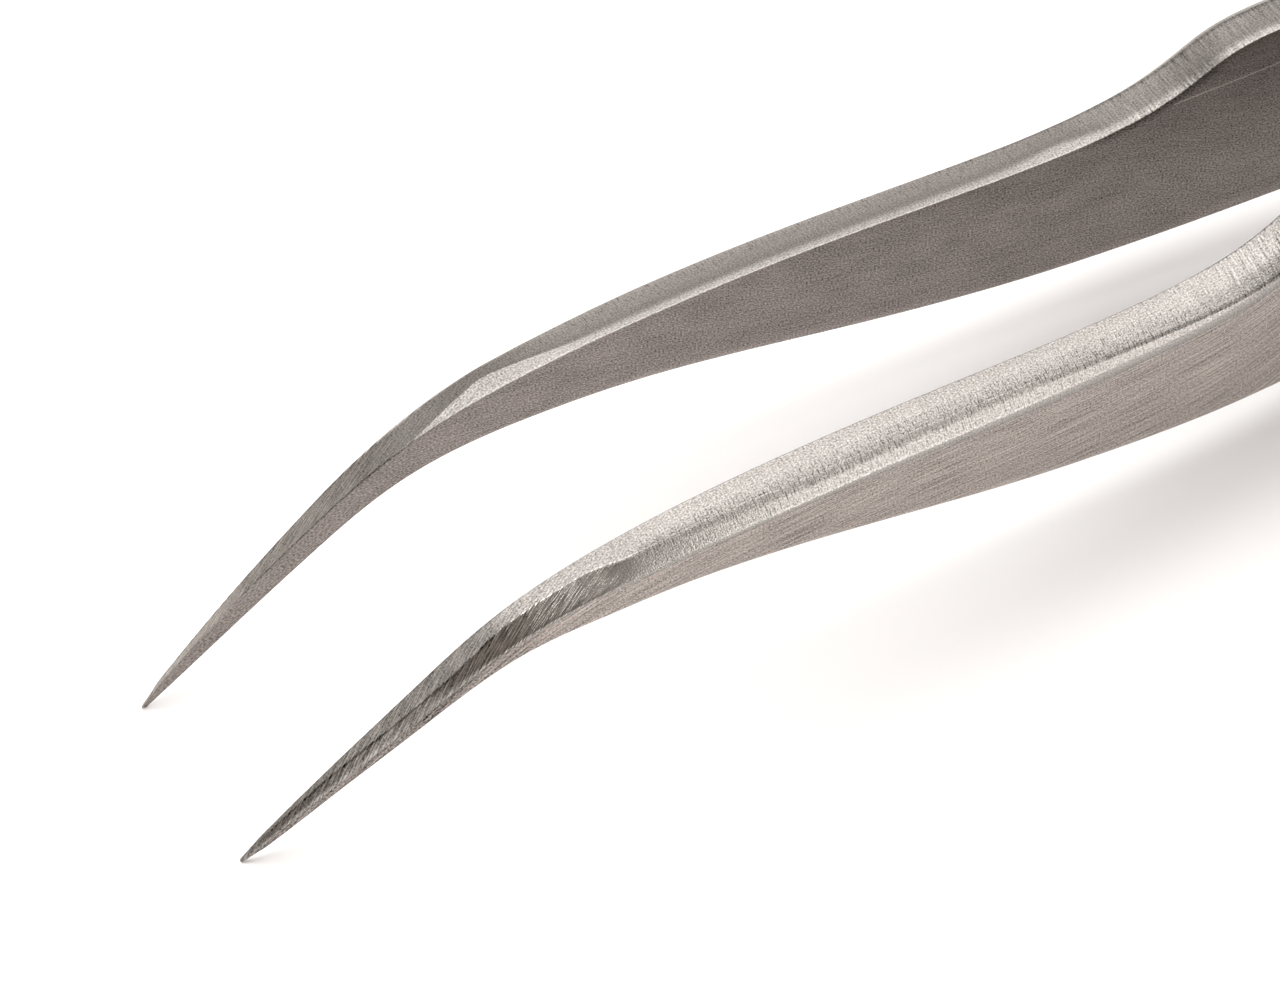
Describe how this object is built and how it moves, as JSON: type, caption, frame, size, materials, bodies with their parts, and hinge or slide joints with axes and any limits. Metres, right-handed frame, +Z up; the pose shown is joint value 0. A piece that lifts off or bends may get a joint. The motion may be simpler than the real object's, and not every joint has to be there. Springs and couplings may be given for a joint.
{
  "type": "aquascaping tweezers",
  "caption": "Curved fine-point tweezers: sprung steel arms, welded at the tail, that narrow to down-turned points for planting and trimming.",
  "frame": {"origin": "on the ground, under the middle of the bounding box, with the tweezers lying on their lower edges", "axes": "+X runs from the tips to the welded tail, +Y is towards the right arm, and +Z is up, away from the side that the points turn to"},
  "size_m": [0.115, 0.012, 0.0131],
  "materials": {
    "ground_steel": "satin, ground and brushed",
    "weld_steel": "fused, unpolished"
  },
  "bodies": {
    "tail": {"right_arm_tail": "ground_steel", "left_arm_tail": "ground_steel", "weld_nugget_front": "weld_steel", "weld_nugget_middle": "weld_steel", "weld_nugget_rear": "weld_steel"},
    "right_arm": {"right_arm_blade": "ground_steel"},
    "left_arm": {"left_arm_blade": "ground_steel"}
  },
  "joints": [
    {"name": "right_arm_flex", "type": "hinge", "parent": "tail", "child": "right_arm", "pos_m": [0.0305, 0.0006, 0.0062], "axis": [0, 0, 1], "range_deg": [0, 2.6], "stiffness_Nm_per_rad": 0.7},
    {"name": "left_arm_flex", "type": "hinge", "parent": "tail", "child": "left_arm", "pos_m": [0.0305, -0.0006, 0.0062], "axis": [0, 0, -1], "range_deg": [0, 2.6], "stiffness_Nm_per_rad": 0.7}
  ]
}
